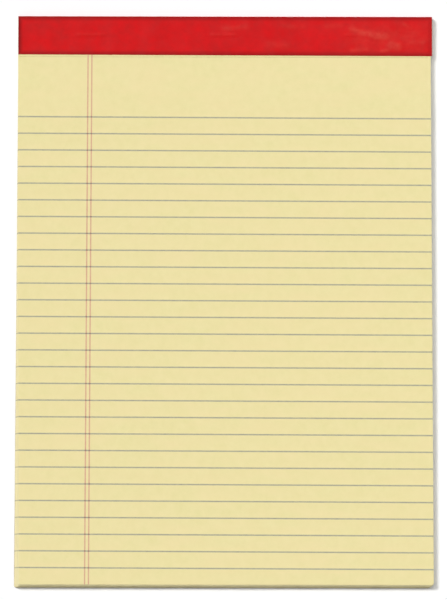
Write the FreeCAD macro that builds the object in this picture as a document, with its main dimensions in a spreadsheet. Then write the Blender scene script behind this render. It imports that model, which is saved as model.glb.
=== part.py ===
"""A letter-size writing pad: fifty ruled sheets on a chipboard, stapled at the head and capped with a strip.

The pad lies flat on its backing board, face up. +Y points to the head, where the binding strip is, +X to the
right of the page and +Z up. The origin is the centre of the pad's underside. Sizes are in millimetres.
"""
import FreeCAD, Part
import os
import Sketcher

# Each driving size: the cell's alias, its value and what it is.
SIZES = [
    ("sheet_width", 215.9, "width of every sheet at the head, 8 1/2 in"),
    ("sheet_length", 297.2, "length of the top sheet, from the head to the foot"),
    ("sheet_count", 50, "sheets in the pad"),
    ("sheet_thickness", 0.084, "one sheet, pressed against the next at the head"),
    ("loose_rise", 0.5, "how much higher the sheets stand where nothing presses them"),
    ("rise_length", 28.0, "from the strip's lower edge to where they stand at that height"),
    ("skew", 1.3, "how far the top sheet's foot lies to the right, and the lowest sheet's to the left"),
    ("foot_spread", 1.45, "how far the lowest sheet stands out past the top one at the foot"),
    ("corner_radius", 1.0, "worn corner at the foot"),
    ("board_thickness", 0.8, "chipboard backing"),
    ("strip_thickness", 0.18, "paper of the binding strip"),
    ("strip_front", 20.5, "strip on the face of the pad, at the right"),
    ("strip_taper", 0.55, "how much shorter the strip is on the face at the left, where it went on askew"),
    ("strip_back", 16.0, "strip on the underside"),
    ("strip_overhang", 0.7, "how far the strip stands out past the sheets at the right"),
    ("perforation_gap", 0.7, "from the strip's lower edge to the line of slits"),
    ("slit_length", 1.2, "one slit of the perforation"),
    ("slit_width", 0.15, "opening of a slit"),
    ("slit_pitch", 2.0, "from one slit to the next"),
    ("slit_edge", 1.0, "paper left at the side before the first slit"),
    ("staple_count", 3, "staples along the head"),
    ("staple_spacing", 70.0, "from one staple to the next"),
    ("staple_inset", 9.5, "from the head edge to the staples"),
    ("staple_crown", 12.7, "outside width of a staple"),
    ("staple_clinch", 4.0, "length of a bent-over leg"),
    ("wire_width", 0.5, "staple wire, along the page"),
    ("wire_thickness", 0.4, "staple wire, through the thickness of its bends"),
    ("rule_first", 52.7, "from the head edge to the first rule, at the left side"),
    ("rule_pitch", 8.731, "from one rule to the next, 11/32 in"),
    ("rule_width", 0.55, "printed line"),
    ("rule_foot", 5.0, "least blank below the last rule"),
    ("ruling_drop", 0.82, "how far a rule falls from left to right, because the print is slightly askew"),
    ("margin_inset", 36.65, "from the left side to the first margin line, at the head edge"),
    ("margin_spacing", 2.0, "between the two margin lines"),
    ("margin_width", 0.5, "printed margin line"),
    ("ink_thickness", 0.02, "height given to the printed lines"),
]

# Places that several pieces share, as expressions on the cells.
SIDE = "(dims.sheet_width / 2)"
HEAD = "((dims.sheet_length + dims.foot_spread - dims.strip_thickness) / 2)"
FOOT = f"({HEAD} - dims.sheet_length)"
LOWEST_FOOT = f"({FOOT} - dims.foot_spread)"
BOUND_END = f"({HEAD} - dims.strip_front)"
STRIP_END = f"({SIDE} + dims.strip_overhang)"
RISE_END = f"({BOUND_END} - dims.rise_length)"
BOUND_FACE = "(dims.board_thickness + dims.sheet_count * dims.sheet_thickness)"
FACE = f"({BOUND_FACE} + dims.loose_rise)"
INK_FACE = f"({FACE} + dims.ink_thickness)"
WHOLE_WIDTH = "(dims.sheet_width + 2 * dims.skew)"
SLOPE = "(dims.ruling_drop / dims.sheet_width)"

# The corners of a page's outline that lie at the foot.
FOOT_CORNERS = (2, 3)

# Two places closer than this are the same place.
TOLERANCE = 1e-4

doc = FreeCAD.newDocument("LegalPad")


def make_sheet_of_sizes():
    """Fills the spreadsheet that drives every sketch and feature."""
    cells = doc.addObject("Spreadsheet::Sheet", "dims")
    for row, (alias, value, meaning) in enumerate(SIZES, start=1):
        cells.set(f"A{row}", meaning)
        cells.set(f"B{row}", str(value))
        cells.setAlias(f"B{row}", alias)
    doc.recompute()


def origin_feature(body, role):
    """The body's own origin plane or axis with that role."""
    return next(f for f in body.Origin.OriginFeatures if f.Role == role)


def new_body(label, several_solids=False):
    """An empty body whose label names its file."""
    body = doc.addObject("PartDesign::Body", label)
    body.Label = label
    body.AllowCompound = several_solids
    return body


def value_of(sketch, expression):
    """The expression's value now."""
    return float(sketch.evalExpression(expression))


def bind(sketch, kind, expression, *places):
    """Adds a dimension that follows the expression."""
    index = sketch.addConstraint(Sketcher.Constraint(kind, *places, value_of(sketch, expression)))
    sketch.renameConstraint(index, f"{kind}{index}")
    sketch.setExpression(f"Constraints.{kind}{index}", expression)


def bind_corner(sketch, geometry, corner):
    """Fixes the start of a line, or a point, at the corner's two expressions."""
    bind(sketch, "DistanceX", corner[0], -1, 1, geometry, 1)
    bind(sketch, "DistanceY", corner[1], -1, 1, geometry, 1)


def round_corner(sketch, before, after, corner, radius):
    """Joins two sides by an arc, whose corner stays where the sides would meet."""
    place = sketch.Geometry[after].StartPoint
    size = value_of(sketch, radius)
    back = (sketch.Geometry[before].StartPoint - place).normalize() * size
    onwards = (sketch.Geometry[after].EndPoint - place).normalize() * size
    nearest = (back + onwards) * (1 - 0.5 ** 0.5)
    arc = sketch.addGeometry(Part.Arc(place + back, place + nearest, place + onwards))
    sharp = sketch.addGeometry(Part.Point(place), True)
    bind_corner(sketch, sharp, corner)
    bind(sketch, "Radius", radius, arc)
    sketch.addConstraint([
        Sketcher.Constraint("PointOnObject", sharp, 1, before),
        Sketcher.Constraint("PointOnObject", sharp, 1, after),
        Sketcher.Constraint("Tangent", before, 2, arc, 1),
        Sketcher.Constraint("Tangent", arc, 2, after, 1),
    ])


def outline(body, name, plane, offset, corners, rounded=(), radius=None):
    """A closed outline on one of the body's planes, its sides straight and each corner bound to its expressions.

    The corners whose numbers are in rounded are rounded by the radius; the others are sharp.
    """
    sketch = body.newObject("Sketcher::SketchObject", name)
    sketch.AttachmentSupport = (origin_feature(body, plane), [""])
    sketch.MapMode = "FlatFace"
    sketch.setExpression("AttachmentOffset.Base.z", offset)
    places = [
        FreeCAD.Vector(value_of(sketch, across), value_of(sketch, along), 0)
        for across, along in corners
    ]
    for start, end in zip(places, places[1:] + places[:1]):
        sketch.addGeometry(Part.LineSegment(start, end))
    for i, corner in enumerate(corners):
        before = (i - 1) % len(corners)
        if i in rounded:
            round_corner(sketch, before, i, corner, radius)
        else:
            sketch.addConstraint(Sketcher.Constraint("Coincident", before, 2, i, 1))
            bind_corner(sketch, i, corner)
    doc.recompute()
    return sketch


def pad(body, sketch, length, both_ways=False):
    """Raises the sketch along its normal, or as far each way from its plane."""
    feature = body.newObject("PartDesign::Pad", f"{sketch.Name}_pad")
    feature.Profile = sketch
    feature.Midplane = both_ways
    feature.setExpression("Length", length)
    return feature


def pocket(body, sketch, length, both_ways=False):
    """Cuts the sketch against its normal, or as far each way from its plane."""
    feature = body.newObject("PartDesign::Pocket", f"{sketch.Name}_pocket")
    feature.Profile = sketch
    feature.Midplane = both_ways
    feature.setExpression("Length", length)
    doc.recompute()
    return feature


def repeat(body, feature, axis, count, pitch, backwards=False):
    """Copies the feature in a row along one of the body's axes."""
    row = body.newObject("PartDesign::LinearPattern", f"{feature.Name}_row")
    row.Originals = [feature]
    row.Direction = (origin_feature(body, axis), [""])
    row.Reversed = backwards
    row.setExpression("Occurrences", count)
    row.setExpression("Length", f"({count} - 1) * {pitch}")
    body.Tip = row
    doc.recompute()
    return row


def round_edges(body, feature, radius, is_wanted):
    """Rounds the feature's straight edges whose two ends pass the test."""
    names = [
        f"Edge{number}"
        for number, edge in enumerate(feature.Shape.Edges, start=1)
        if is_wanted(edge.firstVertex().Point, edge.lastVertex().Point)
    ]
    fillet = body.newObject("PartDesign::Fillet", f"{feature.Name}_fillet")
    fillet.Base = (feature, names)
    fillet.setExpression("Radius", radius)
    doc.recompute()
    return fillet


def page_corners(foot, shift):
    """A sheet's outline: square where the strip binds it, then straight to its foot, a little to one side."""
    return [
        (f"-{SIDE}", HEAD),
        (f"-{SIDE}", BOUND_END),
        (f"({shift} - {SIDE})", foot),
        (f"({shift} + {SIDE})", foot),
        (SIDE, BOUND_END),
        (SIDE, HEAD),
    ]


def top_page(body, name, offset):
    """The top sheet's outline at some height, its foot corners worn round."""
    corners = page_corners(FOOT, "dims.skew")
    return outline(body, name, "XY_Plane", offset, corners, FOOT_CORNERS, "dims.corner_radius")


def lowest_page(body, name, offset):
    """The outline of the lowest sheet and the board at some height, its foot corners worn round."""
    corners = page_corners(LOWEST_FOOT, "-dims.skew")
    return outline(body, name, "XY_Plane", offset, corners, FOOT_CORNERS, "dims.corner_radius")


def first_staple_corners():
    """The leftmost staple seen from the head: its crown in the top sheets, its legs bent inwards in the board."""
    middle = "(-(dims.staple_count - 1) * dims.staple_spacing / 2)"
    left = f"({middle} - dims.staple_crown / 2)"
    right = f"({middle} + dims.staple_crown / 2)"
    wire = "dims.wire_thickness"
    underside = "dims.strip_thickness"
    return [
        (left, BOUND_FACE),
        (right, BOUND_FACE),
        (right, underside),
        (f"{right} - dims.staple_clinch", underside),
        (f"{right} - dims.staple_clinch", f"{underside} + {wire}"),
        (f"{right} - {wire}", f"{underside} + {wire}"),
        (f"{right} - {wire}", f"{BOUND_FACE} - {wire}"),
        (f"{left} + {wire}", f"{BOUND_FACE} - {wire}"),
        (f"{left} + {wire}", f"{underside} + {wire}"),
        (f"{left} + dims.staple_clinch", f"{underside} + {wire}"),
        (f"{left} + dims.staple_clinch", underside),
        (left, underside),
    ]


def staple_sketch(body, name):
    """The first staple's outline, on the plane of the row of staples. That plane's normal points to the foot."""
    return outline(body, name, "XZ_Plane", f"dims.staple_inset - {HEAD}", first_staple_corners())


def cut_for_staples(body, name):
    """Cuts the channels that the staples were driven through, one under each staple."""
    channel = pocket(body, staple_sketch(body, name), "dims.wire_width", both_ways=True)
    return repeat(body, channel, "X_Axis", "dims.staple_count", "dims.staple_spacing")


def make_ruled_sheets():
    """All the sheets as one block, pressed thinner under the strip and perforated below it."""
    body = new_body("ruled_sheets")
    lowest = lowest_page(body, "lowest_sheet", "dims.board_thickness")
    top = top_page(body, "top_sheet", FACE)
    block = body.newObject("PartDesign::AdditiveLoft", "page_block")
    block.Profile = lowest
    block.Sections = [top]
    block.Ruled = True
    doc.recompute()
    pressed = outline(body, "pressed_head", "YZ_Plane", "0", [
        (HEAD, BOUND_FACE),
        (HEAD, FACE),
        (RISE_END, FACE),
        (BOUND_END, BOUND_FACE),
    ])
    pocket(body, pressed, WHOLE_WIDTH, both_ways=True)
    cut_for_staples(body, "staple_channel")

    start = f"(dims.slit_edge - {SIDE})"
    line = f"({BOUND_END} - dims.perforation_gap)"
    slit = outline(body, "slit", "XY_Plane", FACE, [
        (start, f"{line} - dims.slit_width / 2"),
        (f"{start} + dims.slit_length", f"{line} - dims.slit_width / 2"),
        (f"{start} + dims.slit_length", f"{line} + dims.slit_width / 2"),
        (start, f"{line} + dims.slit_width / 2"),
    ])
    cut = pocket(body, slit, f"{FACE} - dims.board_thickness")
    room = "(dims.sheet_width - 2 * dims.slit_edge - dims.slit_length)"
    repeat(body, cut, "X_Axis", f"(floor({room} / dims.slit_pitch) + 1)", "dims.slit_pitch")
    return body


def make_backing_board():
    """The chipboard, thinned on its underside where the strip is pressed into it."""
    body = new_body("backing_board")
    pad(body, lowest_page(body, "board_outline", "0"), "dims.board_thickness")
    rebate = outline(body, "strip_rebate", "XY_Plane", "dims.strip_thickness", [
        (f"-{SIDE}", f"{HEAD} - dims.strip_back"),
        (SIDE, f"{HEAD} - dims.strip_back"),
        (SIDE, HEAD),
        (f"-{SIDE}", HEAD),
    ])
    pocket(body, rebate, "dims.strip_thickness")
    cut_for_staples(body, "clinch_channel")
    return body


def make_binding_strip():
    """The strip glued round the head: a leg on the face, the head itself and a leg on the underside."""
    body = new_body("binding_strip")
    over = f"({BOUND_FACE} + dims.strip_thickness)"
    outside = f"({HEAD} + dims.strip_thickness)"
    section = outline(body, "head_and_back", "YZ_Plane", "dims.strip_overhang / 2", [
        (f"{HEAD} - dims.strip_back", "0"),
        (outside, "0"),
        (outside, over),
        (HEAD, over),
        (HEAD, "dims.strip_thickness"),
        (f"{HEAD} - dims.strip_back", "dims.strip_thickness"),
    ])
    pad(body, section, "dims.sheet_width + dims.strip_overhang", both_ways=True)
    front = outline(body, "front_leg", "XY_Plane", BOUND_FACE, [
        (f"-{SIDE}", f"{BOUND_END} + dims.strip_taper"),
        (STRIP_END, BOUND_END),
        (STRIP_END, HEAD),
        (f"-{SIDE}", HEAD),
    ])
    whole = pad(body, front, "dims.strip_thickness")
    doc.recompute()
    outermost = whole.Shape.BoundBox.YMax

    def is_fold(one_end, other_end):
        is_outermost = min(one_end.y, other_end.y) > outermost - TOLERANCE
        runs_across = abs(one_end.x - other_end.x) > TOLERANCE
        return is_outermost and runs_across

    round_edges(body, whole, "dims.strip_thickness", is_fold)
    return body


def make_staples():
    """The row of wire staples that holds the sheets to the board."""
    body = new_body("staples", several_solids=True)
    wire = pad(body, staple_sketch(body, "staple"), "dims.wire_width", both_ways=True)
    doc.recompute()
    repeat(body, wire, "X_Axis", "dims.staple_count", "dims.staple_spacing")
    return body


def make_ink_layer():
    """A layer as thin as the ink over the whole face of the top sheet, which the printed lines are cut from."""
    body = new_body("ink_layer")
    pad(body, top_page(body, "inked_sheet", BOUND_FACE), f"{INK_FACE} - {BOUND_FACE}")
    doc.recompute()
    above = outline(body, "above_ink", "YZ_Plane", "0", [
        (HEAD, f"{BOUND_FACE} + dims.ink_thickness"),
        (HEAD, INK_FACE),
        (RISE_END, INK_FACE),
        (BOUND_END, f"{BOUND_FACE} + dims.ink_thickness"),
    ])
    pocket(body, above, WHOLE_WIDTH, both_ways=True)
    below = outline(body, "below_ink", "YZ_Plane", "0", [
        (FOOT, BOUND_FACE),
        (BOUND_END, BOUND_FACE),
        (RISE_END, FACE),
        (FOOT, FACE),
    ])
    pocket(body, below, WHOLE_WIDTH, both_ways=True)
    return body


def printed(body, corners, axis, count, pitch, backwards=False):
    """A row of bars on the body, each as tall as the whole ink layer."""
    sketch = outline(body, f"{body.Name}_bar", "XY_Plane", BOUND_FACE, corners)
    bar = pad(body, sketch, f"{INK_FACE} - {BOUND_FACE}")
    doc.recompute()
    repeat(body, bar, axis, count, pitch, backwards)
    return body


def join(kind, name, base, tool):
    """A boolean of two shapes, as an object of its own."""
    result = doc.addObject(kind, name)
    result.Label = name
    result.Base = base
    result.Tool = tool
    doc.recompute()
    return result


def make_printed_lines():
    """The rules across the top sheet, and the two margin lines, left out where a rule covers the paper."""
    layer = make_ink_layer()
    reach = f"({SIDE} + dims.skew)"
    left = f"({HEAD} - dims.rule_first + {SLOPE} * dims.skew)"
    right = f"({HEAD} - dims.rule_first - dims.ruling_drop - {SLOPE} * dims.skew)"
    room = "(dims.sheet_length - dims.rule_first - dims.ruling_drop - dims.rule_foot)"
    rules = printed(new_body("rules_past_the_sides", several_solids=True), [
        (f"-{reach}", f"{left} - dims.rule_width / 2"),
        (reach, f"{right} - dims.rule_width / 2"),
        (reach, f"{right} + dims.rule_width / 2"),
        (f"-{reach}", f"{left} + dims.rule_width / 2"),
    ], "Y_Axis", f"(floor({room} / dims.rule_pitch) + 1)", "dims.rule_pitch", backwards=True)

    first = f"(dims.margin_inset - {SIDE})"
    far_side = "(dims.margin_inset + dims.margin_spacing + dims.margin_width)"
    start = f"({BOUND_END} + dims.strip_taper * (1 - {far_side} / dims.sheet_width))"
    lean_at_start = f"({SLOPE} * ({HEAD} - {start}))"
    lean_at_foot = f"({SLOPE} * dims.sheet_length)"
    margins = printed(new_body("margins_over_the_rules", several_solids=True), [
        (f"{first} - {lean_at_foot} - dims.margin_width / 2", FOOT),
        (f"{first} - {lean_at_foot} + dims.margin_width / 2", FOOT),
        (f"{first} - {lean_at_start} + dims.margin_width / 2", start),
        (f"{first} - {lean_at_start} - dims.margin_width / 2", start),
    ], "X_Axis", "2", "dims.margin_spacing")

    rule_lines = join("Part::Common", "rule_lines", rules, layer)
    inked_margins = join("Part::Common", "inked_margins", margins, layer)
    margin_lines = join("Part::Cut", "margin_lines", inked_margins, rules)
    return [rule_lines, margin_lines]


def check_document():
    """Stops if an object failed or a pocket removed nothing."""
    for thing in doc.Objects:
        if "Invalid" in thing.State or "Error" in thing.State:
            raise RuntimeError(f"{thing.Label} failed: {thing.State}")
        if thing.TypeId == "PartDesign::Pocket" and thing.Shape.Volume >= thing.BaseFeature.Shape.Volume:
            raise RuntimeError(f"{thing.Label} cuts nothing")


def write_parts(parts):
    """Writes each sub-part to its own file."""
    os.makedirs("parts", exist_ok=True)
    for part in parts:
        shape = part.Shape
        if shape.isNull() or not shape.isValid() or not shape.Solids:
            raise RuntimeError(f"{part.Label} has no valid solid")
        shape.exportStep(os.path.join("parts", f"{part.Label}.step"))
        size = shape.BoundBox
        print(f"{part.Label}: {len(shape.Solids)} solids, {shape.Volume:.3f} mm3, "
              f"x {size.XMin:.2f} to {size.XMax:.2f}, y {size.YMin:.2f} to {size.YMax:.2f}, "
              f"z {size.ZMin:.2f} to {size.ZMax:.2f}")


make_sheet_of_sizes()
parts = [
    make_ruled_sheets(),
    make_backing_board(),
    make_binding_strip(),
    make_staples(),
    *make_printed_lines(),
]
doc.recompute()
check_document()
write_parts(parts)
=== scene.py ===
"""A ruled writing pad lying face up on a white floor, seen almost straight down, with its bound head away."""

import math
import random

import bmesh
import bpy
from mathutils import Matrix, Vector, noise


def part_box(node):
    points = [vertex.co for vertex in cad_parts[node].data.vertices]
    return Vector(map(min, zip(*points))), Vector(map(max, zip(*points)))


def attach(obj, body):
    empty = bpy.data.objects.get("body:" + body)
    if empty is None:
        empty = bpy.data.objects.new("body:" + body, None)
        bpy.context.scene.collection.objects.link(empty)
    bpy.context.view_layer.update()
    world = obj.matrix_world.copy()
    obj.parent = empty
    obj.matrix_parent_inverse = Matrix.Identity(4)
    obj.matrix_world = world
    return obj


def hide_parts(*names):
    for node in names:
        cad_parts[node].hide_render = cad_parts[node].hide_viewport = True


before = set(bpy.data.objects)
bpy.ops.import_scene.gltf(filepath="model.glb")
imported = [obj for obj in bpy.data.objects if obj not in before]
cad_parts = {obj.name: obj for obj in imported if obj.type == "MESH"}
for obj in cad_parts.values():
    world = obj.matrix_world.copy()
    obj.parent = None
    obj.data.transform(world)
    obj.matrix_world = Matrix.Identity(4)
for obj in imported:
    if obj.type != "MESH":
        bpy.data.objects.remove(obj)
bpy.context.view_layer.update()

MM = 0.001

# The pad's own sizes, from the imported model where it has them.
sheets_low, sheets_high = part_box("ruled_sheets")
strip_low, strip_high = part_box("binding_strip")
staples_low, staples_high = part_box("staples")
SHEET_WIDTH = 215.9 * MM
SHEET_LENGTH = 297.2 * MM
SHEET_COUNT = 50
SIDE = SHEET_WIDTH / 2
HEAD = sheets_high.y
FOOT = HEAD - SHEET_LENGTH
FOOT_SPREAD = FOOT - sheets_low.y
SKEW = sheets_high.x - SIDE
BOARD_TOP = sheets_low.z
FACE = sheets_high.z
BOUND_FACE = staples_high.z
BOUND_END = strip_low.y
RISE_LENGTH = 28.0 * MM
CORNER_RADIUS = 0.9 * MM

# The strip that caps the head.
STRIP_THICKNESS = 0.18 * MM
STRIP_FOLD = 0.3 * MM
STRIP_TAPER = 0.55 * MM
STRIP_BACK = 16.0 * MM
STAPLE_PITCH = 70.0 * MM
STAPLE_PLACES = (-STAPLE_PITCH, 0.0, STAPLE_PITCH)
STAPLE_ROW = (staples_low.y + staples_high.y) / 2
STAPLE_CROWN = 12.7 * MM

# The perforation under the strip.
PERFORATION_GAP = 0.7 * MM
SLIT_EDGE = 1.0 * MM
SLIT_LENGTH = 1.2 * MM
SLIT_PITCH = 2.0 * MM
SLIT_WIDTH = 0.15 * MM
SLIT_DEPTH = 3.6 * MM

# The print.
RULE_FIRST = 52.7 * MM
RULE_PITCH = 8.731 * MM
RULE_COUNT = 28
RULE_DROP = 0.82 * MM
RULE_WIDTH = 0.55 * MM
RULE_HEIGHT = 0.024 * MM
MARGIN_INSET = 36.65 * MM
MARGIN_SPACING = 2.0 * MM
MARGIN_WIDTH = 0.5 * MM
MARGIN_HEIGHT = 0.036 * MM
PRINT_LEAN = RULE_DROP / SHEET_WIDTH

# The photograph's frame, and where the pad stands in it, in pixels.
PHOTO_WIDTH = 447
PHOTO_HEIGHT = 600
PAD_CENTRE_ACROSS = 224.1
PAD_CENTRE_DOWN = 301.79
PIXELS_PER_METRE = 1913.3

# The camera, in degrees, metres and millimetres of sensor.
CAMERA_ELEVATION = 85.6
CAMERA_AZIMUTH = -4.52
CAMERA_ROLL = 0.0776
CAMERA_DISTANCE = 3.478
SENSOR = 36.0

# Light: how bright each source makes a white sheet that lies flat, where it comes from, and its spread in
# degrees. The floor lies just under the pad, has one tone in the pad's light and another for the camera,
# and glows a little there.
AMBIENT = 0.23
KEY_LEVEL = 0.52
KEY_DIRECTION = (-0.46, 0.4, 1.0)
KEY_SPREAD = 18.0
TOP_LEVEL = 0.19
TOP_DIRECTION = (-0.05, 0.2, 1.0)
TOP_SPREAD = 24.0
FILL_LEVEL = 0.06
FILL_PLACE = (0.45, 0.1, 0.9)
FILL_SIZE = 0.6
FILL_COLOR = (0.92, 0.97, 1.0)
FLOOR_TONE = 0.985
FLOOR_SEEN_TONE = 1.0
FLOOR_GLOW = 0.035
FLOOR_REACH = 60.0
FLOOR_GAP = 0.03 * MM

# How evenly the sheets lie: how far one may be cut short, how far it slides against its neighbour and how
# much of that neighbour's slide it shares, how the stack fans out and gapes, and the cockles of its face.
# A cockle or a swell is (size, height, seed).
SHEET_SEED = 11
TRIM = 0.035 * MM
SLIDE_ACROSS = 0.05 * MM
SLIDE_ALONG = 0.03 * MM
SLIDE_SHARED = 0.75
FAN = 2.8
GAPE = 0.05 * MM
GAPE_LENGTH = 28 * MM
GAPE_WAVES = 9
COCKLES = ((55 * MM, 0.045 * MM, 3.7), (21 * MM, 0.018 * MM, 8.1))

# Ink: how deep its ribbons are sunk into the paper, how far it feathers out, and how much of it shows at
# the cut ends of the rules.
INK_ROOT = 0.02 * MM
FEATHER = 0.32 * MM
RULE_END_STRENGTH = 0.65
ACROSS = "across_the_line"

# The strip's relief, and the painted highlight that stands in for sheen on its crests. A pucker is (centre,
# length, width, turn in degrees, height), and one whose height is below 0 is a crease. At the full sheen
# height a pucker gets the whole painted highlight.
PAINTED_HIGHLIGHT = "painted_highlight_on_crests"
CROWN_RISE = 0.16 * MM
CROWN_WIDTH = 0.9 * MM
CROWN_SHEEN = 0.15
FULL_SHEEN_HEIGHT = 0.26 * MM
DEEPEST_CREASE = 0.05 * MM
STRIP_SWELLS = ((14 * MM, 0.05 * MM, 5.2), (5 * MM, 0.03 * MM, 1.9))
PUCKERS = (
    ((70.4 * MM, 141.6 * MM), 7 * MM, 2.1 * MM, -19.0, 0.2 * MM),
    ((80.3 * MM, 139.6 * MM), 8 * MM, 2.4 * MM, -6.0, 0.24 * MM),
    ((89.1 * MM, 134.3 * MM), 4 * MM, 2.5 * MM, -5.0, 0.2 * MM),
    ((83.7 * MM, 131.6 * MM), 3 * MM, 1.2 * MM, 20.0, 0.16 * MM),
    ((100.2 * MM, 136.1 * MM), 8 * MM, 2.0 * MM, 2.0, 0.1 * MM),
    ((95.9 * MM, 144.6 * MM), 4 * MM, 1.3 * MM, -30.0, 0.12 * MM),
    ((70.9 * MM, 131.9 * MM), 8 * MM, 1.4 * MM, 5.0, 0.1 * MM),
    ((52.8 * MM, 141.0 * MM), 5 * MM, 1.6 * MM, 88.0, -0.12 * MM),
    ((57.5 * MM, 144.6 * MM), 8 * MM, 1.5 * MM, 4.0, 0.07 * MM),
    ((5.5 * MM, 143.6 * MM), 12 * MM, 1.6 * MM, 4.0, 0.07 * MM),
    ((36.0 * MM, 144.2 * MM), 10 * MM, 1.6 * MM, -4.0, 0.06 * MM),
    ((28.0 * MM, 134.5 * MM), 10 * MM, 1.8 * MM, -5.0, 0.06 * MM),
)
# Painted highlight: a broad patch on the right of the strip is painted paler, standing in for sheen.
SHEEN_PATCH = (86.0 * MM, 138.6 * MM)
SHEEN_LENGTH = 30.0 * MM
SHEEN_WIDTH = 7.0 * MM
SHEEN_STRENGTH = 0.3

# Where the glue holds the strip down: the shares of its way down the face over which the relief grows from
# the fold and dies out towards the edge, and how much of it is left there.
FOLD_HOLD = 0.06
EDGE_HOLD = 0.05
EDGE_LIFT = 0.15

# The strip's painted shade, a dark rim: its width, how much of that is fully dark, and how dark each side of
# it gets.
SHADED = "painted_shade_at_its_edges"
EDGE_SHADE = 2.9 * MM
RIM = 0.2 * MM
LEFT_SHADE = 1.0
RIGHT_SHADE = 0.45
FOLD_SHADE = 0.72
CUT_SHADE = 0.74


def smooth(t):
    """Eases from 0 to 1 as t goes from 0 to 1."""
    t = min(max(t, 0.0), 1.0)
    return t * t * (3 - 2 * t)


def srgb(red, green, blue):
    """A colour read as 0 to 255, as the linear colour that a material takes."""
    linear = [((c / 255 + 0.055) / 1.055) ** 2.4 if c > 10 else c / 255 / 12.92 for c in (red, green, blue)]
    return (*linear, 1.0)


def swell(x, y, size, seed):
    """Soft hills and hollows of about the given size, from -1 to 1."""
    return noise.noise(Vector((x / size, y / size, seed)))


def swells(x, y, layers):
    """The height of several layers of hills and hollows, each with its own size, height and seed."""
    return sum(height * swell(x, y, size, seed) for size, height, seed in layers)


# Shape of the paper

def looseness(y):
    """0 where the strip binds the sheets, 1 at the foot."""
    return min(max((BOUND_END - y) / (BOUND_END - FOOT), 0.0), 1.0)


def face_height(x, y):
    """Height of the top sheet: pressed under the strip, risen and slightly cockled where it is loose."""
    rise = smooth((BOUND_END - y) / RISE_LENGTH)
    return BOUND_FACE + (FACE - BOUND_FACE + swells(x, y, COCKLES)) * rise


def grid(columns, rows):
    """A flat grid facing up, whose columns stand at the given places and whose rows run from head to foot."""
    bm = bmesh.new()
    across = len(columns) - 1
    along = len(rows) - 1
    bmesh.ops.create_grid(bm, x_segments=across, y_segments=along, size=0.5)
    for vert in bm.verts:
        column = round((vert.co.x + 0.5) * across)
        row = round((0.5 - vert.co.y) * along)
        vert.co = (columns[column], rows[row], 0.0)
    return bm


def evenly(start, end, step):
    """Places from start to end, about a step apart."""
    count = max(1, round(abs(end - start) / step))
    return [start + (end - start) * i / count for i in range(count + 1)]


def finished(bm, name, *materials, shade_smooth=True):
    """The mesh as an object at the origin, with its materials."""
    mesh = bpy.data.meshes.new(name)
    bm.to_mesh(mesh)
    bm.free()
    piece = bpy.data.objects.new(name, mesh)
    bpy.context.scene.collection.objects.link(piece)
    for material in materials:
        mesh.materials.append(material)
    if shade_smooth:
        mesh.shade_smooth()
    return piece


def soften(piece, angle=30.0):
    """Keeps the piece's edges sharp where its faces turn by more than the angle, in degrees."""
    piece.data.set_sharp_from_angle(angle=math.radians(angle))
    return piece


# Shader helpers

def put(tree, kind, inputs=None, **settings):
    """Adds a node to the tree. Each input takes a number, a colour or another node's output."""
    node = tree.nodes.new(kind)
    for name, value in settings.items():
        setattr(node, name, value)
    for name, value in (inputs or {}).items():
        if isinstance(value, bpy.types.NodeSocket):
            tree.links.new(value, node.inputs[name])
        else:
            node.inputs[name].default_value = value
    return node


def math_of(tree, operation, first, second=0.0, clamp=False):
    """The result of a sum on one or two values."""
    return put(tree, "ShaderNodeMath", {0: first, 1: second}, operation=operation, use_clamp=clamp).outputs[0]


def blend_of(tree, factor, first, second):
    """A colour between two others."""
    inputs = {"Factor": factor, "A": first, "B": second}
    return put(tree, "ShaderNodeMix", inputs, data_type="RGBA").outputs[2]


def stretch_of(tree, value, low, high):
    """The value spread so that low becomes 0 and high becomes 1."""
    return put(tree, "ShaderNodeMapRange", {"Value": value, "From Min": low, "From Max": high}).outputs[0]


def share_of(tree, share, first, second):
    """A value made up of two others, of which the first counts for the given share."""
    rest = math_of(tree, "MULTIPLY", second, 1 - share)
    return math_of(tree, "ADD", math_of(tree, "MULTIPLY", first, share), rest)


def noise_of(tree, vector, size, detail=2.0, roughness=0.5):
    """Noise whose grains are about as large as the size, in metres."""
    inputs = {"Vector": vector, "Scale": 1 / size, "Detail": detail, "Roughness": roughness}
    return put(tree, "ShaderNodeTexNoise", inputs).outputs["Fac"]


def bump_of(tree, height, depth, strength=1.0):
    """A normal that makes the height look raised by the depth, in metres."""
    return put(tree, "ShaderNodeBump", {"Height": height, "Distance": depth, "Strength": strength}).outputs[0]


def place_of(tree, stretch=(1.0, 1.0, 1.0), turn=0.0):
    """The point's own place on the object, stretched and turned about the upright axis."""
    here = put(tree, "ShaderNodeTexCoord").outputs["Object"]
    mapping = put(tree, "ShaderNodeMapping", {"Vector": here, "Scale": stretch, "Rotation": (0.0, 0.0, turn)})
    return mapping.outputs[0]


def new_material(name, roughness, specular=0.5, metallic=0.0):
    """A material, its node tree and its shader."""
    material = bpy.data.materials.new(name)
    material.use_nodes = True
    shader = material.node_tree.nodes["Principled BSDF"]
    shader.inputs["Roughness"].default_value = roughness
    shader.inputs["Specular IOR Level"].default_value = specular
    shader.inputs["Metallic"].default_value = metallic
    return material, material.node_tree, shader


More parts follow.
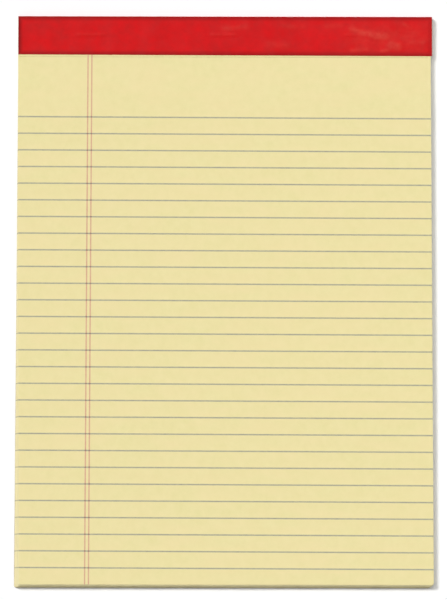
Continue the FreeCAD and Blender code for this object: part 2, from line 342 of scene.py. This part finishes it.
def make_fibre_group():
    """Pulp fibres lying every way, and the cloudiness that is seen in a sheet's thickness."""
    group = bpy.data.node_groups.new("paper_fibres", "ShaderNodeTree")
    for name, kind in (("Vector", "NodeSocketVector"), ("Fibre length", "NodeSocketFloat")):
        group.interface.new_socket(name=name, in_out="INPUT", socket_type=kind)
    for name in ("Fibres", "Cloud"):
        group.interface.new_socket(name=name, in_out="OUTPUT", socket_type="NodeSocketFloat")
    start = put(group, "NodeGroupInput")
    end = put(group, "NodeGroupOutput")
    scale = math_of(group, "DIVIDE", 1.0, start.outputs["Fibre length"])
    fibres = None
    for turn in (0.35, 1.4, 2.5):
        lying = put(group, "ShaderNodeMapping", {
            "Vector": start.outputs["Vector"], "Rotation": (0.0, 0.0, turn), "Scale": (1.0, 7.0, 7.0)})
        layer = put(group, "ShaderNodeTexNoise", {
            "Vector": lying.outputs[0], "Scale": scale, "Detail": 2.0, "Distortion": 0.6}).outputs["Fac"]
        fibres = layer if fibres is None else math_of(group, "MAXIMUM", fibres, layer)
    wide = math_of(group, "MULTIPLY", scale, 0.22)
    cloud = put(group, "ShaderNodeTexNoise", {
        "Vector": start.outputs["Vector"], "Scale": wide, "Detail": 3.0, "Roughness": 0.6}).outputs["Fac"]
    group.links.new(stretch_of(group, fibres, 0.42, 0.78), end.inputs["Fibres"])
    group.links.new(stretch_of(group, cloud, 0.3, 0.7), end.inputs["Cloud"])
    return group


fibre_group = make_fibre_group()


def fibres_of(tree, vector, fibre_length):
    """The two masks of the fibre group, placed in a material."""
    node = put(tree, "ShaderNodeGroup", node_tree=fibre_group)
    tree.links.new(vector, node.inputs["Vector"])
    node.inputs["Fibre length"].default_value = fibre_length
    return node.outputs["Fibres"], node.outputs["Cloud"]


# Materials

PAPER = srgb(240, 228, 171)
PAPER_DARK = srgb(233, 222, 160)
PAPER_WARM = srgb(243, 224, 170)
PAPER_EDGE = srgb(238, 229, 186)
PAPER_GAP = srgb(220, 209, 166)
RULE_INK = srgb(158, 157, 142)
MARGIN_INK = srgb(216, 160, 138)
OVERPRINT = srgb(142, 112, 104)
RED = srgb(219, 8, 15)
RED_DARK = srgb(192, 5, 8)
# Painted shade: the dark red of the strip's rim.
RED_PAINTED_SHADE = srgb(138, 2, 5)
# Painted highlight: the pale red that stands in for sheen on the strip's crests.
RED_HIGHLIGHT = srgb(224, 92, 74)
BOARD = srgb(163, 150, 130)
BOARD_DARK = srgb(150, 137, 118)
PALE_FLECK = srgb(196, 187, 170)
DARK_FLECK = srgb(92, 84, 76)
WIRE = srgb(206, 208, 210)
WIRE_DARK = srgb(176, 178, 182)


def make_paper():
    """Yellow writing paper: matte, faintly cloudy and fibrous."""
    material, tree, shader = new_material("yellow_writing_paper", roughness=0.82, specular=0.25)
    fibres, cloud = fibres_of(tree, place_of(tree), 0.9 * MM)
    pulp = blend_of(tree, share_of(tree, 0.65, cloud, fibres), PAPER_DARK, PAPER)
    warm = stretch_of(tree, noise_of(tree, place_of(tree, (0.6, 1.6, 1.0)), 14 * MM, detail=3.0), 0.3, 0.7)
    color = blend_of(tree, math_of(tree, "MULTIPLY", warm, 0.5), pulp, PAPER_WARM)
    tree.links.new(color, shader.inputs["Base Color"])
    tree.links.new(bump_of(tree, fibres, 0.012 * MM, 0.5), shader.inputs["Normal"])
    return material


def make_paper_edges():
    """The trimmed edges of the sheets: some lighter, some darker, with the rules' ends one below another."""
    material, tree, shader = new_material("trimmed_paper_edges", roughness=0.9, specular=0.15)
    place = place_of(tree)
    layers = noise_of(tree, place_of(tree, stretch=(0.02, 0.02, 1.0)), 0.22 * MM)
    fuzz = noise_of(tree, place, 0.5 * MM, detail=3.0)
    tone = share_of(tree, 0.75, layers, fuzz)
    bare = blend_of(tree, stretch_of(tree, tone, 0.35, 0.62), PAPER_GAP, PAPER_EDGE)
    tree.links.new(blend_of(tree, rule_ends_of(tree, place), bare, RULE_INK), shader.inputs["Base Color"])
    tree.links.new(bump_of(tree, fuzz, 0.03 * MM, 0.6), shader.inputs["Normal"])
    return material


def rule_steps_of(tree, place):
    """How far the place is from the nearest rule's middle, in metres, and a mask of where there are rules."""
    parts = put(tree, "ShaderNodeSeparateXYZ", {"Vector": place})
    lean = math_of(tree, "MULTIPLY", parts.outputs["X"], PRINT_LEAN)
    level = math_of(tree, "ADD", parts.outputs["Y"], lean)
    below = math_of(tree, "SUBTRACT", HEAD - RULE_FIRST - RULE_DROP / 2, level)
    steps = math_of(tree, "DIVIDE", below, RULE_PITCH)
    off = math_of(tree, "ABSOLUTE", math_of(tree, "SUBTRACT", steps, math_of(tree, "ROUND", steps)))
    after_first = math_of(tree, "GREATER_THAN", steps, -0.5)
    before_last = math_of(tree, "LESS_THAN", steps, RULE_COUNT - 0.5)
    return math_of(tree, "MULTIPLY", off, RULE_PITCH), math_of(tree, "MULTIPLY", after_first, before_last)


def rule_ends_of(tree, place):
    """A mask of where the rules run off the sides of the sheets."""
    distance, ruled = rule_steps_of(tree, place)
    near = math_of(tree, "LESS_THAN", distance, RULE_WIDTH / 2)
    return math_of(tree, "MULTIPLY", math_of(tree, "MULTIPLY", near, ruled), RULE_END_STRENGTH)


def soaked_of(tree, across, fibres):
    """How much ink is in the paper: all at a line's middle, none where across is 1, more along the fibres."""
    feather = math_of(tree, "ADD", across, math_of(tree, "MULTIPLY", fibres, 0.25))
    return put(tree, "ShaderNodeMapRange", {
        "Value": feather, "From Min": 0.3, "From Max": 1.05, "To Min": 1.0, "To Max": 0.0},
        interpolation_type="SMOOTHSTEP").outputs[0]


def rule_under_of(tree, fibres):
    """A mask of the rules where another line is printed over them."""
    distance, ruled = rule_steps_of(tree, place_of(tree))
    across = math_of(tree, "DIVIDE", distance, RULE_WIDTH / 2 + FEATHER)
    return math_of(tree, "MULTIPLY", soaked_of(tree, across, fibres), ruled)


def make_ink(name, ink, over_rules=False):
    """Printed ink that has soaked into the paper, cloudy and feathering out along the fibres at both edges.
    Where it is printed over the rules, they show through it."""
    material, tree, shader = new_material(name, roughness=0.8, specular=0.25)
    fibres, cloud = fibres_of(tree, place_of(tree), 0.6 * MM)
    across = put(tree, "ShaderNodeAttribute", attribute_name=ACROSS).outputs["Fac"]
    solid = soaked_of(tree, math_of(tree, "ABSOLUTE", across), fibres)
    full = math_of(tree, "SUBTRACT", 1.0, math_of(tree, "MULTIPLY", cloud, 0.2))
    amount = math_of(tree, "MULTIPLY", solid, full, clamp=True)
    ground = PAPER
    if over_rules:
        crossing = rule_under_of(tree, fibres)
        ground = blend_of(tree, crossing, PAPER, RULE_INK)
        ink = blend_of(tree, crossing, ink, OVERPRINT)
    tree.links.new(blend_of(tree, amount, ground, ink), shader.inputs["Base Color"])
    tree.links.new(bump_of(tree, fibres, 0.012 * MM, 0.5), shader.inputs["Normal"])
    return material


def make_red_paper():
    """The glazed red paper of the binding strip."""
    material, tree, shader = new_material("glazed_red_paper", roughness=0.55, specular=0.12)
    place = place_of(tree)
    fibres, cloud = fibres_of(tree, place, 1.4 * MM)
    wide = stretch_of(tree, noise_of(tree, place, 9 * MM, detail=4.0, roughness=0.6), 0.32, 0.68)
    mottle = share_of(tree, 0.45, cloud, wide)
    # Painted highlight: the crests and a broad patch on the right are painted a paler red, standing in for
    # sheen.
    raised = put(tree, "ShaderNodeAttribute", attribute_name=PAINTED_HIGHLIGHT).outputs["Fac"]
    patchy = stretch_of(tree, noise_of(tree, place, 5 * MM, detail=4.0, roughness=0.6), 0.2, 0.7)
    sheen_mask = math_of(tree, "MULTIPLY", math_of(tree, "MULTIPLY", raised, patchy), 0.5)
    red_with_sheen = blend_of(tree, sheen_mask, blend_of(tree, mottle, RED_DARK, RED), RED_HIGHLIGHT)
    # Painted shade: the rim at the strip's ends, edge and fold is painted a darker red.
    shaded = put(tree, "ShaderNodeAttribute", attribute_name=SHADED).outputs["Fac"]
    tree.links.new(blend_of(tree, shaded, red_with_sheen, RED_PAINTED_SHADE), shader.inputs["Base Color"])
    gloss = math_of(tree, "ADD", math_of(tree, "MULTIPLY", cloud, 0.16), 0.47)
    tree.links.new(gloss, shader.inputs["Roughness"])
    tree.links.new(bump_of(tree, fibres, 0.01 * MM, 0.5), shader.inputs["Normal"])
    return material


def make_chipboard():
    """Grey-brown board pressed from waste paper, with light and dark flecks."""
    material, tree, shader = new_material("grey_chipboard", roughness=0.9, specular=0.2)
    place = place_of(tree)
    fibres, cloud = fibres_of(tree, place, 2.2 * MM)
    ground = blend_of(tree, cloud, BOARD_DARK, BOARD)
    pale = stretch_of(tree, fibres, 0.72, 0.95)
    with_pale = blend_of(tree, math_of(tree, "MULTIPLY", pale, 0.45), ground, PALE_FLECK)
    dark = stretch_of(tree, noise_of(tree, place_of(tree, (1.0, 4.0, 4.0), 0.9), 1.6 * MM, 3.0), 0.66, 0.74)
    flecked = blend_of(tree, math_of(tree, "MULTIPLY", dark, 0.6), with_pale, DARK_FLECK)
    tree.links.new(flecked, shader.inputs["Base Color"])
    tree.links.new(bump_of(tree, fibres, 0.04 * MM, 0.6), shader.inputs["Normal"])
    return material


def make_steel():
    """Drawn staple wire."""
    material, tree, shader = new_material("staple_wire", roughness=0.35, metallic=1.0)
    streaks = noise_of(tree, place_of(tree, (1.0, 8.0, 8.0)), 1.0 * MM, detail=3.0)
    tree.links.new(blend_of(tree, streaks, WIRE_DARK, WIRE), shader.inputs["Base Color"])
    return material


# Pieces

def column_places():
    """Where the columns of the top sheet's grid stand: at both ends of every slit, and at the two sides."""
    first = SLIT_EDGE - SIDE
    count = int((SHEET_WIDTH - 2 * SLIT_EDGE - SLIT_LENGTH) / SLIT_PITCH) + 1
    places = [-SIDE]
    for i in range(count):
        places += [first + i * SLIT_PITCH, first + i * SLIT_PITCH + SLIT_LENGTH]
    return places + [SIDE]


def row_places():
    """Where its rows lie, from head to foot: at both sides of the slits, and closer on the rising stretch."""
    slit = BOUND_END - PERFORATION_GAP
    bound = evenly(HEAD, BOUND_END, 5 * MM)
    rising = evenly(slit - SLIT_WIDTH / 2, BOUND_END - RISE_LENGTH, 2 * MM)
    loose = evenly(BOUND_END - RISE_LENGTH, FOOT, 5 * MM)
    return bound + [slit + SLIT_WIDTH / 2] + rising + loose[1:]


def is_slit(face):
    """True for the cells of the grid that the perforation cuts out."""
    centre = face.calc_center_median()
    along = (centre.x + SIDE - SLIT_EDGE) % SLIT_PITCH
    in_row = abs(centre.y - (BOUND_END - PERFORATION_GAP)) < SLIT_WIDTH / 2
    return in_row and along < SLIT_LENGTH and abs(centre.x) < SIDE - SLIT_EDGE


def sheet_slides(rng):
    """How far each sheet has slid at the foot, across and along. Neighbours slide together."""
    slides = [Vector((0.0, 0.0))]
    for _ in range(SHEET_COUNT - 1):
        step = Vector((rng.gauss(0, SLIDE_ACROSS), rng.gauss(0, SLIDE_ALONG)))
        slides.append(slides[-1] * SLIDE_SHARED + step)
    return slides


def in_stack(home, sheet, below, slide, trim):
    """Where a point of a flat sheet lies in the stack. Sheet 0 is the top one, below is the share of the
    stack that lies over the point, and trim is how far the sheet was cut short."""
    loose = looseness(home.y)
    middle = (HEAD + FOOT) / 2
    turned = sheet / (SHEET_COUNT - 1)
    x = home.x * (1 - trim / SIDE)
    y = middle + (home.y - middle) * (1 - trim / (HEAD - middle))
    x += (SKEW * (1 - 2 * turned) + slide.x) * loose
    y -= (FOOT_SPREAD * (1 - (1 - turned) ** FAN) + slide.y) * loose
    z = BOARD_TOP + (face_height(home.x, home.y) - BOARD_TOP) * (1 - below)
    z += GAPE * swell(x, y, GAPE_LENGTH, below * GAPE_WAVES) * 4 * below * (1 - below) * loose
    return Vector((x, y, z))


def make_sheets(paper, edges):
    """The whole stack as one closed block: the perforated top sheet, and a step for each sheet's edge."""
    rng = random.Random(SHEET_SEED)
    slides = sheet_slides(rng)
    bm = grid(column_places(), row_places())
    foot_corners = [v for v in bm.verts if len(v.link_edges) == 2 and v.co.y < 0]
    bmesh.ops.bevel(
        bm, geom=foot_corners, offset=CORNER_RADIUS, segments=5, affect="VERTICES", profile=0.5, material=-1)
    home = bm.verts.layers.float_vector.new("home")
    for vert in bm.verts:
        vert[home] = vert.co
        vert.co = in_stack(vert[home], 0, 0.0, slides[0], 0.0)
    wells = bmesh.ops.extrude_discrete_faces(bm, faces=[f for f in bm.faces if is_slit(f)])["faces"]
    rim = [edge for edge in bm.edges if edge.is_boundary]
    bmesh.ops.translate(bm, verts=list({v for f in wells for v in f.verts}), vec=(0, 0, -SLIT_DEPTH))
    for sheet in range(SHEET_COUNT):
        trim = rng.uniform(0.0, TRIM) if sheet else 0.0
        for level in ((sheet, sheet + 1) if sheet else (1,)):
            made = bmesh.ops.extrude_edge_only(bm, edges=rim)["geom"]
            rim = [part for part in made if isinstance(part, bmesh.types.BMEdge)]
            for face in (part for part in made if isinstance(part, bmesh.types.BMFace)):
                face.material_index = 1
            for vert in (part for part in made if isinstance(part, bmesh.types.BMVert)):
                vert.co = in_stack(vert[home], sheet, level / SHEET_COUNT, slides[sheet], trim)
    bmesh.ops.holes_fill(bm, edges=rim, sides=0)
    bm.verts.layers.float_vector.remove(home)
    return soften(finished(bm, "sheets", paper, edges))


def wall(bm, thickness):
    """Gives the faces a thickness, behind the side they show."""
    bm.normal_update()
    bmesh.ops.solidify(bm, geom=bm.faces[:], thickness=thickness)
    return bm


def on_face(x, y, height):
    """A point at some height over the top sheet."""
    return Vector((x, y, face_height(x - SKEW * looseness(y), y) + height))


def ribbon(places, at, width, height):
    """A printed line as wide and high as given: at says where each of the places lies on the page."""
    half = width / 2 + FEATHER
    bm = grid(places, (half, 0.0, -half))
    across = bm.verts.layers.float.new(ACROSS)
    for vert in bm.verts:
        vert[across] = vert.co.y / half
        vert.co = on_face(*at(vert.co.x, vert.co.y), height)
    return wall(bm, height + INK_ROOT)


def merged(parts, name, material):
    """Several finished forms as one object."""
    bm = bmesh.new()
    for part in parts:
        mesh = bpy.data.meshes.new(name)
        part.to_mesh(mesh)
        part.free()
        bm.from_mesh(mesh)
        bpy.data.meshes.remove(mesh)
    return soften(finished(bm, name, material))


def make_rules(ink):
    """The rules, from one side of the top sheet to the other, all leaning a little."""
    lines = []
    for i in range(RULE_COUNT):
        level = HEAD - RULE_FIRST - i * RULE_PITCH

        def at(x, across, level=level):
            return x, level - PRINT_LEAN * (x + SIDE) + across

        shift = SKEW * looseness(level)
        places = evenly(shift - SIDE + INK_ROOT, shift + SIDE - INK_ROOT, 4 * MM)
        lines.append(ribbon(places, at, RULE_WIDTH, RULE_HEIGHT))
    return merged(lines, "printed_rules", ink)


def make_margins(ink):
    """The two margin lines, from the strip to the foot, leaning as the rules do."""
    lines = []
    for i in range(2):
        first = MARGIN_INSET - SIDE + i * MARGIN_SPACING

        def at(down, across, first=first):
            return first - PRINT_LEAN * down + across, HEAD - down

        start = HEAD - strip_edge(first)
        lines.append(ribbon(evenly(start, SHEET_LENGTH - INK_ROOT, 3 * MM), at, MARGIN_WIDTH, MARGIN_HEIGHT))
    return merged(lines, "printed_margin_lines", ink)


def strip_edge(x):
    """Where the strip ends on the face: it is a little narrower on the left."""
    return BOUND_END + STRIP_TAPER * (strip_high.x - x) / (strip_high.x - strip_low.x)


def strip_section():
    """The strip's outside in section: from its edge on the underside, round the head, to its edge on the
    face. Each place is (y, z, share of the way down the face)."""
    top = BOUND_FACE + STRIP_THICKNESS
    outside = HEAD + STRIP_THICKNESS
    section = [(y, 0.0, 0.0) for y in evenly(HEAD - STRIP_BACK, outside - STRIP_FOLD, 2 * MM)]
    quarter = evenly(0.0, math.pi / 2, math.pi / 12)
    section += [(outside - STRIP_FOLD * (1 - math.sin(a)), STRIP_FOLD * (1 - math.cos(a)), 0.0)
                for a in quarter[1:]]
    section += [(outside, z, 0.0) for z in evenly(STRIP_FOLD, top - STRIP_FOLD, 0.8 * MM)[1:]]
    section += [(outside - STRIP_FOLD * (1 - math.cos(a)), top - STRIP_FOLD * (1 - math.sin(a)), 0.0)
                for a in quarter[1:]]
    face = outside - STRIP_FOLD
    section += [(y, top, (face - y) / (face - BOUND_END)) for y in evenly(face, BOUND_END, 0.4 * MM)[1:]]
    return section


def ridge(x, y, centre, length, width, turn=0.0):
    """A soft ridge or crease, 1 at its middle: centred, as long and wide as given, turned by some degrees."""
    across = Vector((x, y)) - Vector(centre)
    across.rotate(Matrix.Rotation(math.radians(-turn), 2))
    end = max(abs(across.x) - length / 2, 0.0)
    return math.exp(-(across.y / width) ** 2 - (end / width) ** 2)


def strip_relief(x, y):
    """How far the glued paper stands up over the staples' crowns and its puckers, and how much painted
    highlight it gets there, in place of sheen.
    """
    height = 0.0
    sheen_amount = SHEEN_STRENGTH * ridge(x, y, SHEEN_PATCH, SHEEN_LENGTH, SHEEN_WIDTH)
    for place in STAPLE_PLACES:
        crown = ridge(x, y, (place, STAPLE_ROW), STAPLE_CROWN, CROWN_WIDTH)
        height = max(height, CROWN_RISE * crown)
        sheen_amount = max(sheen_amount, CROWN_SHEEN * crown)
    for centre, length, width, turn, rise in PUCKERS:
        pucker = ridge(x, y, centre, length, width, turn)
        height = max(height, rise * pucker) if rise > 0 else height + rise * pucker
        sheen_amount = max(sheen_amount, pucker * rise / FULL_SHEEN_HEIGHT)
    return max(height + swells(x, y, STRIP_SWELLS), -DEEPEST_CREASE), sheen_amount


def strip_painted_shade(x, y, z):
    """Painted shade: how dark the red is painted near the strip's ends, its edge on the face and the fold at
    its top.
    """
    from_fold = max(HEAD - y, strip_high.z - z)
    sides = (
        (x - strip_low.x, LEFT_SHADE),
        (strip_high.x - x, RIGHT_SHADE),
        (from_fold, FOLD_SHADE),
        (y - strip_edge(x), CUT_SHADE),
    )
    return max(depth * (1 - smooth((inward - RIM) / (EDGE_SHADE - RIM))) for inward, depth in sides)


def strip_columns():
    """Where the columns of the strip's grid stand: closer at its two ends."""
    left = evenly(strip_low.x, strip_low.x + EDGE_SHADE, 0.4 * MM)
    middle = evenly(strip_low.x + EDGE_SHADE, strip_high.x - EDGE_SHADE, 1 * MM)
    right = evenly(strip_high.x - EDGE_SHADE, strip_high.x, 0.4 * MM)
    return left + middle[1:] + right[1:]


def make_strip(paper):
    """The red strip round the head, glued over the staples."""
    section = strip_section()
    bm = grid(strip_columns(), range(len(section)))
    raised = bm.verts.layers.float.new(PAINTED_HIGHLIGHT)
    shaded = bm.verts.layers.float.new(SHADED)
    for vert in bm.verts:
        y, z, down = section[round(vert.co.y)]
        x = vert.co.x
        y += (strip_edge(x) - BOUND_END) * down
        held = smooth(down / FOLD_HOLD) * smooth((1 - down) / EDGE_HOLD + EDGE_LIFT)
        height, sheen_amount = strip_relief(x, y)
        # Painted highlight, standing in for sheen, on the raised places.
        vert[raised] = sheen_amount * held
        # Painted shade at the rim.
        vert[shaded] = strip_painted_shade(x, y, z)
        vert.co = (x, y, z + height * held)
    wall(bm, STRIP_THICKNESS)
    return soften(finished(bm, "head_strip", paper), 40.0)


def make_floor():
    """A white floor with no edge in sight."""
    material, tree, shader = new_material("white_floor", roughness=0.95, specular=0.0)
    ray = put(tree, "ShaderNodeLightPath").outputs
    lit = (FLOOR_TONE, FLOOR_TONE, FLOOR_TONE, 1.0)
    seen = (FLOOR_SEEN_TONE, FLOOR_SEEN_TONE, FLOOR_SEEN_TONE, 1.0)
    tree.links.new(blend_of(tree, ray["Is Camera Ray"], lit, seen), shader.inputs["Base Color"])
    shader.inputs["Emission Color"].default_value = seen
    glow = math_of(tree, "MULTIPLY", ray["Is Camera Ray"], FLOOR_GLOW)
    tree.links.new(glow, shader.inputs["Emission Strength"])
    bm = bmesh.new()
    bmesh.ops.create_grid(bm, x_segments=1, y_segments=1, size=FLOOR_REACH)
    bmesh.ops.translate(bm, verts=bm.verts[:], vec=(0, 0, -FLOOR_GAP))
    return finished(bm, "floor", material, shade_smooth=False)


# Light and camera

def make_world():
    """Even white light from all round, and plain white where the floor ends."""
    world = bpy.data.worlds.new("white_room")
    world.use_nodes = True
    bpy.context.scene.world = world
    tree = world.node_tree
    tree.nodes.clear()
    ray = put(tree, "ShaderNodeLightPath").outputs
    seen = math_of(tree, "MAXIMUM", ray["Is Camera Ray"], ray["Is Glossy Ray"])
    seen = math_of(tree, "MAXIMUM", seen, ray["Is Transmission Ray"])
    strength = put(tree, "ShaderNodeMix", {"Factor": seen, "A": AMBIENT, "B": 1.0}).outputs[0]
    light = put(tree, "ShaderNodeBackground", {"Color": (1.0, 1.0, 1.0, 1.0), "Strength": strength})
    put(tree, "ShaderNodeOutputWorld", {"Surface": light.outputs[0]})


def make_sun(name, direction, level, spread):
    """A soft distant lamp. The level is how bright it makes a white sheet that lies flat."""
    lamp = bpy.data.lights.new(name, "SUN")
    upward = Vector(direction).normalized()
    lamp.energy = level * math.pi / upward.z
    lamp.angle = math.radians(spread)
    holder = bpy.data.objects.new(name, lamp)
    holder.rotation_euler = upward.to_track_quat("Z", "Y").to_euler()
    bpy.context.scene.collection.objects.link(holder)


def make_fill():
    """A weak broad lamp on the right, near enough to light that side of the page a little more."""
    lamp = bpy.data.lights.new("fill_light", "AREA")
    away = Vector(FILL_PLACE)
    lamp.shape = "DISK"
    lamp.size = FILL_SIZE
    lamp.color = FILL_COLOR
    lamp.energy = FILL_LEVEL * math.pi ** 2 * away.length ** 3 / away.z
    holder = bpy.data.objects.new("fill_light", lamp)
    holder.location = away
    holder.rotation_euler = away.to_track_quat("Z", "Y").to_euler()
    bpy.context.scene.collection.objects.link(holder)


def make_camera():
    """A long lens almost straight over the pad, a little towards its foot."""
    camera = bpy.data.cameras.new("camera")
    camera.sensor_width = SENSOR
    camera.lens = SENSOR * CAMERA_DISTANCE * PIXELS_PER_METRE / PHOTO_HEIGHT
    camera.clip_start = 0.1
    camera.clip_end = 100.0
    height = math.radians(CAMERA_ELEVATION)
    side = math.radians(CAMERA_AZIMUTH)
    back = Vector((math.sin(side) * math.cos(height), -math.cos(side) * math.cos(height), math.sin(height)))
    across = Vector((0, 1, 0)).cross(back).normalized()
    across.rotate(Matrix.Rotation(math.radians(CAMERA_ROLL), 3, back))
    up = back.cross(across)
    aim = across * (PHOTO_WIDTH / 2 - PAD_CENTRE_ACROSS) + up * (PAD_CENTRE_DOWN - PHOTO_HEIGHT / 2)
    holder = bpy.data.objects.new("camera", camera)
    holder.rotation_euler = Matrix((across, up, back)).transposed().to_euler()
    holder.location = aim / PIXELS_PER_METRE + back * CAMERA_DISTANCE
    bpy.context.scene.collection.objects.link(holder)
    bpy.context.scene.camera = holder


# The scene

paper = make_paper()
sheets = make_sheets(paper, make_paper_edges())
rules = make_rules(make_ink("rule_ink", RULE_INK))
margins = make_margins(make_ink("margin_ink", MARGIN_INK, over_rules=True))
strip = make_strip(make_red_paper())

for piece, node, slot in (
    (sheets, "ruled_sheets", "yellow_paper"),
    (rules, "rule_lines", "rule_ink"),
    (margins, "margin_lines", "margin_ink"),
    (strip, "binding_strip", "red_binding_paper"),
):
    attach(piece, "root")
    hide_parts(node)

for node, finish in (("backing_board", make_chipboard()), ("staples", make_steel())):
    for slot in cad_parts[node].material_slots:
        slot.material = finish

make_floor()
make_world()
make_sun("key_light", KEY_DIRECTION, KEY_LEVEL, KEY_SPREAD)
make_sun("top_light", TOP_DIRECTION, TOP_LEVEL, TOP_SPREAD)
make_fill()
make_camera()
bpy.context.scene.view_settings.view_transform = "Standard"
